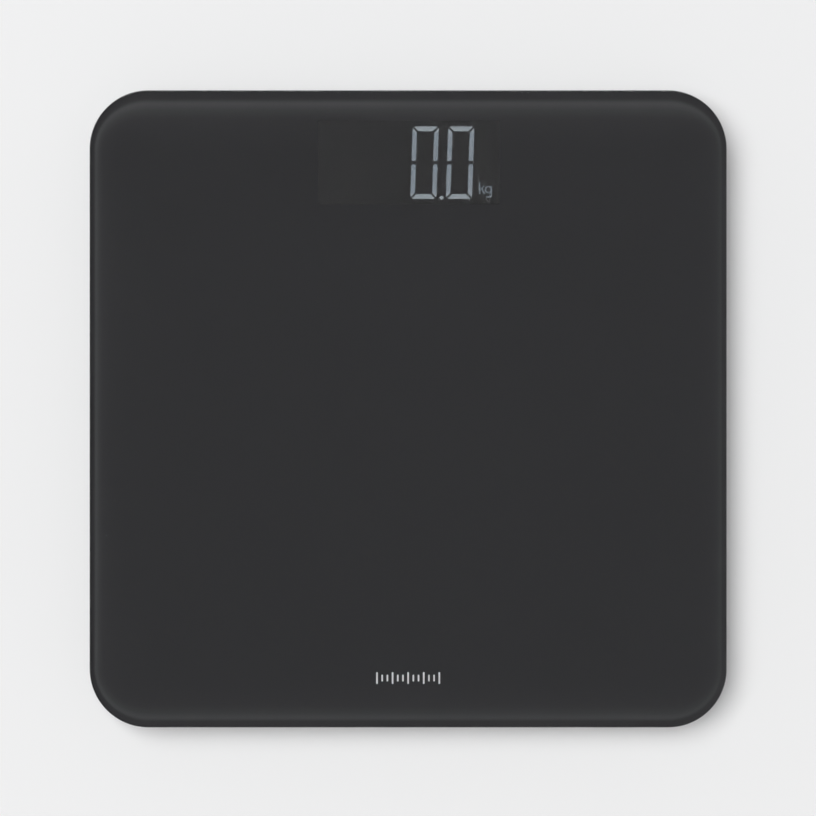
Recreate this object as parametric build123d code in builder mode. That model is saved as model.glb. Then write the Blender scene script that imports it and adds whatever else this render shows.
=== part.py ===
from build123d import *
import os
from math import atan2, degrees, radians, tan

os.makedirs("parts", exist_ok=True)

# Digital bathroom scale with a square glass platform. Millimetres.
# Origin: on the surface it stands on, under the middle of the platform.
# +Z up, +Y towards the display, -Y towards the person standing on it.

# Platform
PLATFORM_SIDE = 300.0
PLATFORM_CORNER = 27.6
GLASS_THICK = 5.0
GLASS_TOP_ROUND = 1.2
GLASS_BOTTOM_ROUND = 0.4
PRINT_THICK = 0.2
PRINT_INSET = 0.45
TAPE_THICK = 0.6
TAPE_OUTSIDE = 0.8
TAPE_PAD_MARGIN = 2.0
TAPE_OVERHANG = 0.4

# Base tray
TRAY_HEIGHT = 13.8
TRAY_INSET = 4.0
TRAY_WALL = 2.4
TRAY_FLOOR = 2.0
TRAY_EDGE_ROUND = 5.0
GROUND_GAP = 3.4
RIM_GAP = 3.6
RIM_WALL = 1.6
RIM_RIB = 1.2
RIM_RIB_PITCH = 34.0
RIM_RIBS = 8
FLOOR_RIB_PITCH = 31.0
FLOOR_RIB_HEIGHT = 2.0
FLOOR_RIB = 1.2
FLOOR_RIBS = 8

# Heights that follow from them
TRAY_BOTTOM = GROUND_GAP
FLOOR_TOP = TRAY_BOTTOM + TRAY_FLOOR
TRAY_TOP = TRAY_BOTTOM + TRAY_HEIGHT
PRINT_BOTTOM = TRAY_TOP + TAPE_THICK
GLASS_BOTTOM = PRINT_BOTTOM + PRINT_THICK
TRAY_SIDE = PLATFORM_SIDE - 2 * TRAY_INSET
TRAY_CORNER = PLATFORM_CORNER - TRAY_INSET
INNER_ROUND = TRAY_EDGE_ROUND - TRAY_WALL
RIM_OUTSIDE = TRAY_WALL + RIM_GAP
RIM_INSIDE = RIM_OUTSIDE + RIM_WALL
TAPE_INSIDE = RIM_INSIDE - TAPE_OVERHANG

# Feet and load cells, one set at each corner
FOOT_CENTRE = 110.0
FOOT_TRAVEL = 0.6
PAD_RADIUS = 17.0
PAD_THICK = 2.4
PAD_SEAT = 0.8
PAD_GROOVE = 0.5
PAD_RINGS = (0.45, 0.7)
SHOE_RADIUS = 20.0
SHOE_FLANGE_RADIUS = 22.0
SHOE_FLANGE_GAP = 0.15
SHOE_FLANGE_PLAY = 0.4
SHOE_WALL = 1.8
SHOE_PLATE = 1.8
SHOE_GAP = 0.6
SHOE_RIBS = 6
BOSS_RADIUS = 5.5
COLLAR_WALL = 1.8
CELL_OVER_FLOOR = 2.9
CELL_SIDE = 34.0
CELL_THICK = 2.6
TONGUE_WIDTH = 14.0
TONGUE_ROOT = -10.0
TONGUE_TIP = 10.0
TONGUE_SLOT = 2.2
TOOLING_HOLE = 1.0
TOOLING_HOLE_INSET = 3.0
HOLDER_SIDE = 40.0
HOLDER_CORNER = 4.0
CELL_PLAY = 0.3
RELIEF_SIDE = 26.0
RELIEF_HEIGHT = 1.5
HOLDER_PLATE = 1.4
HOLDER_RIB = 1.8
EAR_REACH = 27.5
EAR_OFFSET = 9.0
EAR_RADIUS = 3.6
EAR_BOTTOM = 9.9
EAR_THICK = 2.0
EAR_ROOT = 1.0
WIRE_CHANNEL = 6.4
GAUGE_LENGTH = 6.0
GAUGE_WIDTH = 4.4
GAUGE_THICK = 0.15
GAUGE_FROM_ROOT = 5.0
CELL_BOTTOM = FLOOR_TOP + CELL_OVER_FLOOR
CELL_TOP = CELL_BOTTOM + CELL_THICK
SHOE_BOTTOM = PAD_THICK - PAD_SEAT
FLANGE_BOTTOM = FLOOR_TOP + SHOE_FLANGE_GAP
FLANGE_TOP = CELL_BOTTOM - FOOT_TRAVEL - SHOE_FLANGE_PLAY
SHOE_DECK = PAD_THICK + SHOE_PLATE
GAUGE_PLACE = TONGUE_ROOT + GAUGE_FROM_ROOT
TAPE_PAD_SIDE = HOLDER_SIDE - 2 * TAPE_PAD_MARGIN

# Screws
CELL_SCREW = 1.25
CELL_SCREW_HEAD = 2.5
BOARD_SCREW = 1.0
BOARD_SCREW_HEAD = 2.1
SCREW_HEAD_HEIGHT = 1.7
SCREW_PLAY = 0.05
RECESS_DEPTH = 0.8
RECESS_WIDTH = 0.6
RECESS_SHARE = 1.2
SCREW_END_GAP = 0.5
BOSS_WALL = 2.0

# Display behind the glass
DISPLAY_X = 0.3
DISPLAY_Y = 116.3
WINDOW_WIDTH = 85.6
WINDOW_HEIGHT = 39.4
WINDOW_CORNER = 0.8
HOUSING_WIDTH = 90.0
HOUSING_HEIGHT = 42.0
DIGIT_Y = 116.33
DIGIT_HALF_WIDTH = 6.35
DIGIT_HALF_HEIGHT = 17.2
DIGIT_PITCH = 16.8
DIGIT_FIRST = -25.85
DIGITS = 4
DIGIT_LEAN = 2.0
BAR = 2.45
BAR_GAP = 0.48
BAR_CLIP = 0.66
BAR_MIDDLE_GAP = 0.75
BAR_POINT = 0.49
POINT_X = 15.8
POINT_Y = 99.7
POINT_RADIUS = 0.95
DIFFUSER_THICK = 2.5
SYMBOL_X = 33.8
SYMBOL_Y = 101.4
SYMBOL_STROKE = 0.62
SYMBOL_HEIGHT = 5.8
SYMBOL_BOWL = 1.45
SYMBOL_RISE = 2.088
SYMBOL_SPACING = 4.176
SYMBOL_HOOK = 1.276
SYMBOL_ARM_TOP = 3.967
SYMBOL_ARM_FOOT = 1.67
SYMBOL_LEG_TOP = (0.835, 2.506)
SYMBOL_LEG_FOOT = 2.401
SYMBOL_STEM = 1.232
SYMBOL_HOOK_END = 1.16
SYMBOL_WELL_RADIUS = 1.3
LED_LENGTH = 1.6
LED_WIDTH = 0.8
LED_HEIGHT = 0.6
GASKET_WIDTH = 2.0
DIFFUSER_BOTTOM = TRAY_TOP - DIFFUSER_THICK

# Circuit board
BOARD_BOTTOM = 8.0
BOARD_THICK = 1.6
BOARD_WIDTH = 104.0
BOARD_FRONT = 76.0
BOARD_BACK = 137.6
BOARD_HOLE_X = 48.8
BOARD_HOLE_INSET = 4.0
BOARD_HOLE_PLAY = 0.2
BOARD_CORNER = 2.0
BOARD_TOP = BOARD_BOTTOM + BOARD_THICK
BOARD_LENGTH = BOARD_BACK - BOARD_FRONT
BOARD_Y = (BOARD_BACK + BOARD_FRONT) / 2
BOARD_POSTS = [
    (DISPLAY_X + side * BOARD_HOLE_X, y)
    for side in (-1, 1)
    for y in (BOARD_FRONT + BOARD_HOLE_INSET, BOARD_BACK - BOARD_HOLE_INSET)
]
CHIP_X = -12.0
CHIP_Y = 90.4
CHIP_LENGTH = 18.0
CHIP_WIDTH = 5.6
CHIP_HEIGHT = 2.2
LEAD_PITCH = 1.27
LEAD_COUNT = 13
LEAD_WIDTH = 0.42
LEAD_THICK = 0.25
LEAD_REACH = 1.2
CHIP_DOT_RADIUS = 0.6
CHIP_DOT_X = 2.0
CHIP_DOT_Y = 1.0
CAPACITOR_RADIUS = 2.5
CAPACITOR_HEIGHT = 6.6
CAPACITOR_X = 8.0
CAPACITOR_PITCH = 8.0
RESISTOR_X = 30.0
RESISTOR_PITCH = 3.4
RESISTOR_ROW = 3.6
RESISTOR_COLUMNS = 5
RESISTOR_SIZE = (2.0, 1.25, 0.55)

# Wire sockets and plugs along the front edge of the board
SOCKET_WIDTH = 8.4
SOCKET_DEPTH = 4.4
SOCKET_HEIGHT = 4.6
PLUG_WIDTH = 7.0
PLUG_DEPTH = 4.8
PLUG_HEIGHT = 3.6
PLUG_FRONT = 76.6
WING_DEPTH = 2.88
WING_FROM_FRONT = 3.36
CRIMP_LENGTH = 1.92
CRIMP_WIDTH = 0.9
CRIMP_DEPTH = 0.9
CRIMP_FROM_FRONT = 2.16
REAR_CELL_SOCKET = 40.0
FRONT_CELL_SOCKET = 26.0
SOCKET_X = (-REAR_CELL_SOCKET, -FRONT_CELL_SOCKET, 0.0, FRONT_CELL_SOCKET, REAR_CELL_SOCKET)

# Wires
WIRE_Z = 11.5
WIRE_RADIUS = 0.5
WIRE_PITCH = 1.6
WIRE_BEND = 6.0
LEAD_BEND = 4.0
WIRE_START = 8.6
FRONT_RUN_X = 70.0
REAR_RUN_X = 74.0
FRONT_RUN_Y = 60.0
REAR_RUN_Y = 67.0
BATTERY_RUN_X = 37.0
BATTERY_RUN_Y = 55.0
CLIP_HALF_GAP = 3.4
CLIP_LENGTH = 5.0
CLIP_WALL = 1.2
CLIP_TOP = 13.2
CLIP_PLACES = [
    (side * x, y)
    for side in (-1, 1)
    for x, y in (
        (FRONT_RUN_X, -FOOT_CENTRE / 2),
        (FRONT_RUN_X, 0),
        (REAR_RUN_X, (FOOT_CENTRE + REAR_RUN_Y) / 2),
    )
]

# Battery box, door and AAA cells
BATTERY_BOX_Y = 30.0
BATTERY_RADIUS = 5.25
BATTERY_LENGTH = 44.5
BATTERY_NUB_RADIUS = 1.9
BATTERY_NUB = 0.8
BATTERY_PITCH = 11.2
BATTERY_Z = 10.9
CAVITY_LENGTH = 51.0
CAVITY_WIDTH = 34.2
CAVITY_TOP = 16.3
BOX_WALL = 1.8
SHOULDER_TOP = 8.0
SHOULDER_WALL = 2.4
CONTACT_THICK = 0.3
CONTACT_SIZE = 9.0
CONTACT_DIMPLE = 0.5
CONTACT_DIMPLE_RADIUS = 2.2
TAIL_WIDTH = 2.0
TAIL_THICK = 0.6
TAIL_REACH = 4.0
TAIL_PLAY = 0.4
SPRING_RADIUS = 2.6
SPRING_WIRE = 0.3
SPRING_TURNS = 3
DOOR_LENGTH = 60.0
DOOR_WIDTH = 42.0
DOOR_THICK = 1.8
DOOR_GAP = 0.3
DOOR_CORNER = 1.5
TAB_X = 18.0
TAB_WIDTH = 8.0
TAB_THICK = 0.8
TAB_REACH = 2.2
TAB_PLAY = 0.25
TAB_SWEEP = 2.7
LATCH_WIDTH = 12.0
LATCH_DEPTH = 9.0
LATCH_SLOT = 1.0
LATCH_NOSE = 0.22
GRIP_GROOVES = 4
GRIP_PITCH = 1.6
GRIP_DEPTH = 0.4
SCOOP_RADIUS = 7.0
SCOOP_DEPTH = 1.1
DISH_TAPER = 30
HINGE_Y = BATTERY_BOX_Y + DOOR_WIDTH / 2 - DOOR_THICK / 2
HINGE_Z = TRAY_BOTTOM + DOOR_THICK / 2
LATCH_Y = BATTERY_BOX_Y - DOOR_WIDTH / 2
DOOR_TOP = TRAY_BOTTOM + DOOR_THICK
REBATE_LENGTH = DOOR_LENGTH + 2 * DOOR_GAP
REBATE_WIDTH = DOOR_WIDTH + 2 * DOOR_GAP
BATTERY_TIP = CAVITY_LENGTH / 2 - CONTACT_THICK - CONTACT_DIMPLE
SPRING_SPACE = CAVITY_LENGTH - CONTACT_THICK - BATTERY_LENGTH - CONTACT_THICK - CONTACT_DIMPLE
TAIL_PLACES = (
    (1, BATTERY_BOX_Y + BATTERY_PITCH),
    (-1, BATTERY_BOX_Y - BATTERY_PITCH),
)
BATTERY_ROWS = [
    (1, BATTERY_BOX_Y + BATTERY_PITCH),
    (-1, BATTERY_BOX_Y),
    (1, BATTERY_BOX_Y - BATTERY_PITCH),
]

# Unit button and its switch under the circuit board
BUTTON_X = -31.0
BUTTON_Y = 93.0
BUTTON_RADIUS = 4.2
BUTTON_GAP = 0.3
BUTTON_FLANGE_RADIUS = 5.7
BUTTON_FLANGE = 0.6
BUTTON_RECESS = 0.3
BUTTON_DISH_RADIUS = 7.5
BUTTON_DISH_DEPTH = 0.6
BUTTON_FLOAT = 0.1
BUTTON_EDGE_ROUND = 0.45
SWITCH_SIDE = 6.2
SWITCH_BOTTOM = 6.6
SWITCH_CORNER = 0.4
PLUNGER_RADIUS = 1.7
PLUNGER_TOP = 7.45
PLUNGER_PLAY = 0.08

# Printed mark near the front edge: a row of ruler ticks
MARK_Y = -127.0
MARK_HALF_COUNT = 6
MARK_PITCH = 2.45
MARK_TICK = 0.8
MARK_LONG = 5.6
MARK_SHORT = 3.2
MARK_LONG_EVERY = 3

CORNERS = {
    "rear_left": (-1, 1),
    "rear_right": (1, 1),
    "front_left": (-1, -1),
    "front_right": (1, -1),
}


def level(z, x=0.0, y=0.0, facing=1):
    """Horizontal plane at height z over (x, y), with its own X along +X or, facing -1, along -X."""
    return Plane(origin=(x, y, z), x_dir=(facing, 0, 0))


def corner_plane(corner, z):
    """Horizontal plane over a foot, with its own X pointing outwards to the nearer side."""
    side, end = CORNERS[corner]
    return level(z, side * FOOT_CENTRE, end * FOOT_CENTRE, side)


def ear_places(corner):
    """Screw ear centres in corner_plane: beside the wires, and on the side facing the middle."""
    side, end = CORNERS[corner]
    return [(-EAR_REACH, side * end * EAR_OFFSET), (0, -side * end * EAR_REACH)]


def rounded_square(inset, mode=Mode.ADD):
    """The tray's outline moved inwards by inset."""
    side = TRAY_SIDE - 2 * inset
    RectangleRounded(side, side, TRAY_CORNER - inset, mode=mode)


def mark_ticks(mode=Mode.ADD):
    """Row of rounded ticks, every third one long."""
    for index in range(-MARK_HALF_COUNT, MARK_HALF_COUNT + 1):
        length = MARK_LONG if index % MARK_LONG_EVERY == 0 else MARK_SHORT
        with Locations((index * MARK_PITCH, MARK_Y)):
            SlotOverall(length, MARK_TICK, rotation=90, mode=mode)


def window_outline(mode=Mode.ADD):
    """Outline of the clear window over the display."""
    with Locations((DISPLAY_X, DISPLAY_Y)):
        RectangleRounded(WINDOW_WIDTH, WINDOW_HEIGHT, WINDOW_CORNER, mode=mode)


def bar_shapes():
    """Corner points of the seven bars of one digit about its centre, upright."""
    side = DIGIT_HALF_WIDTH
    top = DIGIT_HALF_HEIGHT
    half_clip = BAR_CLIP / 2
    tip = BAR_GAP + BAR_CLIP
    cap = [
        (-side + tip, top),
        (-side + BAR_GAP + half_clip, top - half_clip),
        (-side + BAR_GAP + BAR, top - BAR),
        (side - BAR_GAP - BAR, top - BAR),
        (side - BAR_GAP - half_clip, top - half_clip),
        (side - tip, top),
    ]
    post = [
        (-side, top - tip),
        (-side, BAR_MIDDLE_GAP + BAR_POINT),
        (-side + BAR_POINT, BAR_MIDDLE_GAP),
        (-side + BAR - BAR_POINT, BAR_MIDDLE_GAP),
        (-side + BAR, BAR_MIDDLE_GAP + BAR_POINT),
        (-side + BAR, top - BAR_GAP - BAR),
        (-side + half_clip, top - BAR_GAP - half_clip),
    ]
    half = BAR / 2
    middle = [
        (-side + BAR + BAR_GAP, 0),
        (-side + BAR + BAR_GAP + half, -half),
        (side - BAR - BAR_GAP - half, -half),
        (side - BAR - BAR_GAP, 0),
        (side - BAR - BAR_GAP - half, half),
        (-side + BAR + BAR_GAP + half, half),
    ]
    return {
        "top": cap,
        "bottom": [(x, -y) for x, y in reversed(cap)],
        "upper_left": post,
        "upper_right": [(-x, y) for x, y in reversed(post)],
        "lower_left": [(x, -y) for x, y in reversed(post)],
        "lower_right": [(-x, -y) for x, y in post],
        "middle": middle,
    }


def digit_centre(index):
    """Middle of digit number index along X."""
    return DIGIT_FIRST + index * DIGIT_PITCH


def leaning(points, x, y):
    """Points about a digit's centre, leant to the right and placed at (x, y)."""
    return [(x + px + py * tan(radians(DIGIT_LEAN)), y + py) for px, py in points]


def bars(wanted):
    """Adds the bars that wanted(digit, bar name) accepts to the current sketch."""
    for digit in range(DIGITS):
        for name, points in bar_shapes().items():
            if wanted(digit, name):
                Polygon(*leaning(points, digit_centre(digit), DIGIT_Y), align=None)


def is_lit(digit, name):
    """The last two digits show a zero."""
    return digit >= DIGITS - 2 and name != "middle"


def stroke(start, end):
    """Straight stroke of the unit symbol between two points."""
    run = Vector(*end) - Vector(*start)
    middle = (Vector(*end) + Vector(*start)) / 2
    with Locations((middle.X, middle.Y)):
        Rectangle(run.length, SYMBOL_STROKE, rotation=degrees(atan2(run.Y, run.X)))


def unit_symbol_outline():
    """The kg symbol from the foot of the k: straight strokes and a ring for the bowl of the g."""
    stem_x = SYMBOL_SPACING + SYMBOL_STEM
    stroke((0, 0), (0, SYMBOL_HEIGHT))
    stroke((0, SYMBOL_ARM_FOOT), (SYMBOL_RISE, SYMBOL_ARM_TOP))
    stroke(SYMBOL_LEG_TOP, (SYMBOL_LEG_FOOT, 0))
    with Locations((SYMBOL_SPACING, SYMBOL_RISE)):
        Circle(SYMBOL_BOWL + SYMBOL_STROKE / 2)
        Circle(SYMBOL_BOWL - SYMBOL_STROKE / 2, mode=Mode.SUBTRACT)
    stroke((stem_x, SYMBOL_ARM_TOP), (stem_x, -SYMBOL_HOOK))
    hook_tip = (SYMBOL_SPACING - SYMBOL_HOOK_END, -SYMBOL_HOOK)
    stroke((stem_x + SYMBOL_STROKE / 2, -SYMBOL_HOOK), hook_tip)


def pan_head_screw(radius, head_radius, length):
    """Pan head screw pointing down, seated at the plane's origin, with a cross recess."""
    Cylinder(head_radius, SCREW_HEAD_HEIGHT, align=(Align.CENTER, Align.CENTER, Align.MIN))
    Cylinder(radius, length, align=(Align.CENTER, Align.CENTER, Align.MAX))
    with Locations((0, 0, SCREW_HEAD_HEIGHT)):
        for turn in (0, 90):
            Box(
                head_radius * RECESS_SHARE,
                RECESS_WIDTH,
                RECESS_DEPTH,
                rotation=(0, 0, turn),
                align=(Align.CENTER, Align.CENTER, Align.MAX),
                mode=Mode.SUBTRACT,
            )


def beside(route, gap):
    """A route of square turns moved sideways by gap, to the left of its direction."""
    points = [Vector(*point) for point in route]
    runs = [(after - before).normalized() for before, after in zip(points, points[1:])]
    lefts = [Vector(-run.Y, run.X) for run in runs]
    corners = [before + after for before, after in zip(lefts, lefts[1:])]
    shifts = [lefts[0]] + corners + [lefts[-1]]
    moved = [point + shift * gap for point, shift in zip(points, shifts)]
    return [(point.X, point.Y) for point in moved]


def cell_wire_route(corner):
    """Middle line of the three wires from a load cell to its plug."""
    side, end = CORNERS[corner]
    start = (side * (FOOT_CENTRE - WIRE_START), end * FOOT_CENTRE)
    run_x = side * (REAR_RUN_X if end > 0 else FRONT_RUN_X)
    run_y = REAR_RUN_Y if end > 0 else FRONT_RUN_Y
    socket_x = side * (REAR_CELL_SOCKET if end > 0 else FRONT_CELL_SOCKET)
    return [
        start,
        (run_x, start[1]),
        (run_x, run_y),
        (socket_x, run_y),
        (socket_x, PLUG_FRONT),
    ]


# ---- platform ----

with BuildPart() as glass_platform:
    with BuildSketch(level(GLASS_BOTTOM)):
        RectangleRounded(PLATFORM_SIDE, PLATFORM_SIDE, PLATFORM_CORNER)
    extrude(amount=GLASS_THICK)
    fillet(glass_platform.edges().group_by(Axis.Z)[-1], GLASS_TOP_ROUND)
    fillet(glass_platform.edges().group_by(Axis.Z)[0], GLASS_BOTTOM_ROUND)
glass_platform.part.label = "glass_platform"
export_step(glass_platform.part, "parts/glass_platform.step")

with BuildPart() as back_print:
    with BuildSketch(level(PRINT_BOTTOM)):
        print_side = PLATFORM_SIDE - 2 * PRINT_INSET
        RectangleRounded(print_side, print_side, PLATFORM_CORNER - PRINT_INSET)
        window_outline(Mode.SUBTRACT)
        mark_ticks(Mode.SUBTRACT)
    extrude(amount=PRINT_THICK)
back_print.part.label = "back_print"
export_step(back_print.part, "parts/back_print.step")

with BuildPart() as display_film:
    with BuildSketch(level(PRINT_BOTTOM)):
        window_outline()
    extrude(amount=PRINT_THICK)
display_film.part.label = "display_film"
export_step(display_film.part, "parts/display_film.step")

with BuildPart() as printed_mark:
    with BuildSketch(level(PRINT_BOTTOM)):
        mark_ticks()
    extrude(amount=PRINT_THICK)
printed_mark.part.label = "printed_mark"
export_step(printed_mark.part, "parts/printed_mark.step")

# Foam tape round the rim, and a square of it on each load cell holder
with BuildPart() as adhesive_tape:
    with BuildSketch(level(TRAY_TOP)):
        rounded_square(TAPE_OUTSIDE)
        rounded_square(TAPE_INSIDE, Mode.SUBTRACT)
        with GridLocations(2 * FOOT_CENTRE, 2 * FOOT_CENTRE, 2, 2):
            Rectangle(TAPE_PAD_SIDE, TAPE_PAD_SIDE)
    extrude(amount=TAPE_THICK)
adhesive_tape.part.label = "adhesive_tape"
export_step(adhesive_tape.part, "parts/adhesive_tape.step")

# ---- base tray ----

with BuildPart() as base_tray:
    # shell with a rounded lower edge
    with BuildSketch(level(TRAY_BOTTOM)):
        rounded_square(0)
    extrude(amount=TRAY_HEIGHT)
    fillet(base_tray.edges().group_by(Axis.Z)[0], TRAY_EDGE_ROUND)
    with BuildSketch(level(FLOOR_TOP)):
        rounded_square(TRAY_WALL)
    extrude(amount=TRAY_TOP - FLOOR_TOP, mode=Mode.SUBTRACT)
    fillet(base_tray.faces().filter_by(Axis.Z).sort_by(Axis.Z)[1].edges(), INNER_ROUND)

    # second wall and cross ribs that carry the tape
    with BuildSketch(level(FLOOR_TOP)):
        rounded_square(RIM_OUTSIDE)
        rounded_square(RIM_INSIDE, Mode.SUBTRACT)
        rib_centre = TRAY_SIDE - TRAY_WALL - RIM_OUTSIDE
        rib_length = RIM_GAP + RIM_RIB / 2
        with GridLocations(RIM_RIB_PITCH, rib_centre, RIM_RIBS, 2):
            Rectangle(RIM_RIB, rib_length)
        with GridLocations(rib_centre, RIM_RIB_PITCH, 2, RIM_RIBS):
            Rectangle(rib_length, RIM_RIB)
    extrude(amount=TRAY_TOP - FLOOR_TOP)

    # low stiffening ribs across the floor
    with BuildSketch(level(FLOOR_TOP)):
        floor_span = TRAY_SIDE - 2 * RIM_OUTSIDE - RIM_WALL
        with GridLocations(FLOOR_RIB_PITCH, 0, FLOOR_RIBS, 1):
            Rectangle(FLOOR_RIB, floor_span)
        with GridLocations(0, FLOOR_RIB_PITCH, 1, FLOOR_RIBS):
            Rectangle(floor_span, FLOOR_RIB)
    extrude(amount=FLOOR_RIB_HEIGHT)

    # collar and screw bosses round each foot
    collar_inside = SHOE_FLANGE_RADIUS + SHOE_GAP
    for corner in CORNERS:
        with BuildSketch(corner_plane(corner, FLOOR_TOP)):
            Circle(collar_inside + COLLAR_WALL)
        extrude(amount=CELL_BOTTOM - FLOOR_TOP)
        with BuildSketch(corner_plane(corner, FLOOR_TOP)):
            with Locations(*ear_places(corner)):
                Circle(CELL_SCREW + BOSS_WALL)
        extrude(amount=EAR_BOTTOM - FLOOR_TOP)

    # battery box, circuit board posts and wire clips
    with BuildSketch(level(FLOOR_TOP, 0, BATTERY_BOX_Y)):
        shoulder = 2 * SHOULDER_WALL
        Rectangle(REBATE_LENGTH + shoulder, REBATE_WIDTH + shoulder)
    extrude(amount=SHOULDER_TOP - FLOOR_TOP)
    with BuildSketch(level(FLOOR_TOP, 0, BATTERY_BOX_Y)):
        Rectangle(CAVITY_LENGTH + 2 * BOX_WALL, CAVITY_WIDTH + 2 * BOX_WALL)
    extrude(amount=TRAY_TOP - FLOOR_TOP)
    with BuildSketch(level(FLOOR_TOP)):
        with Locations(*BOARD_POSTS):
            Circle(BOARD_SCREW + BOSS_WALL)
    extrude(amount=BOARD_BOTTOM - FLOOR_TOP)
    with BuildSketch(level(FLOOR_TOP)):
        with Locations(*CLIP_PLACES):
            with GridLocations(2 * CLIP_HALF_GAP, 0, 2, 1):
                Rectangle(CLIP_WALL, CLIP_LENGTH)
    extrude(amount=CLIP_TOP - FLOOR_TOP)

    # openings for the feet, and screw holes
    for corner in CORNERS:
        with BuildSketch(corner_plane(corner, FLOOR_TOP)):
            Circle(collar_inside)
        extrude(amount=CELL_BOTTOM - FLOOR_TOP, mode=Mode.SUBTRACT)
        with BuildSketch(corner_plane(corner, TRAY_BOTTOM)):
            Circle(SHOE_RADIUS + SHOE_GAP)
        extrude(amount=TRAY_FLOOR, mode=Mode.SUBTRACT)
        with BuildSketch(corner_plane(corner, FLOOR_TOP)):
            with Locations(*ear_places(corner)):
                Circle(CELL_SCREW + SCREW_PLAY)
        extrude(amount=EAR_BOTTOM - FLOOR_TOP, mode=Mode.SUBTRACT)
    with BuildSketch(level(BOARD_BOTTOM)):
        with Locations(*BOARD_POSTS):
            Circle(BOARD_SCREW + SCREW_PLAY)
    extrude(amount=-(BOARD_BOTTOM - FLOOR_TOP + TRAY_FLOOR / 2), mode=Mode.SUBTRACT)

    # battery cavity, door rebate and contact tail slots
    with BuildSketch(level(TRAY_BOTTOM, 0, BATTERY_BOX_Y)):
        Rectangle(CAVITY_LENGTH, CAVITY_WIDTH)
    extrude(amount=CAVITY_TOP - TRAY_BOTTOM, mode=Mode.SUBTRACT)
    with BuildSketch(level(TRAY_BOTTOM, 0, BATTERY_BOX_Y)):
        Rectangle(REBATE_LENGTH, REBATE_WIDTH)
    extrude(amount=DOOR_THICK, mode=Mode.SUBTRACT)
    for side, tail_y in TAIL_PLACES:
        with Locations((side * CAVITY_LENGTH / 2, tail_y, WIRE_Z)):
            Box(2 * TAIL_REACH, TAIL_WIDTH + TAIL_PLAY, TAIL_THICK + TAIL_PLAY, mode=Mode.SUBTRACT)

    # pockets that the door's hooked tabs turn in
    tab_floor = DOOR_TOP - TAB_THICK - TAB_PLAY
    pocket_front = BATTERY_BOX_Y + CAVITY_WIDTH / 2 - TAB_PLAY
    pocket_back = HINGE_Y + TAB_SWEEP
    pocket_centre = (pocket_front + pocket_back) / 2
    with BuildSketch(level(tab_floor, 0, pocket_centre)):
        with GridLocations(2 * TAB_X, 0, 2, 1):
            Rectangle(TAB_WIDTH + 2 * DOOR_GAP, pocket_back - pocket_front)
    extrude(amount=HINGE_Z + TAB_SWEEP - tab_floor, mode=Mode.SUBTRACT)

    # finger scoop in front of the door's latch
    with BuildSketch(level(TRAY_BOTTOM, 0, LATCH_Y - DOOR_GAP)):
        Circle(SCOOP_RADIUS)
        with Locations((0, SCOOP_RADIUS)):
            Rectangle(2 * SCOOP_RADIUS, 2 * SCOOP_RADIUS, mode=Mode.SUBTRACT)
    extrude(amount=SCOOP_DEPTH, taper=DISH_TAPER, mode=Mode.SUBTRACT)

    # unit button hole in a shallow dish
    with BuildSketch(level(TRAY_BOTTOM, BUTTON_X, BUTTON_Y)):
        Circle(BUTTON_DISH_RADIUS)
    extrude(amount=BUTTON_DISH_DEPTH, taper=DISH_TAPER, mode=Mode.SUBTRACT)
    with BuildSketch(level(TRAY_BOTTOM, BUTTON_X, BUTTON_Y)):
        Circle(BUTTON_RADIUS + BUTTON_GAP)
    extrude(amount=TRAY_FLOOR, mode=Mode.SUBTRACT)
base_tray.part.label = "base_tray"
export_step(base_tray.part, "parts/base_tray.step")

# ---- feet, load cells and holders ----

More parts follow.
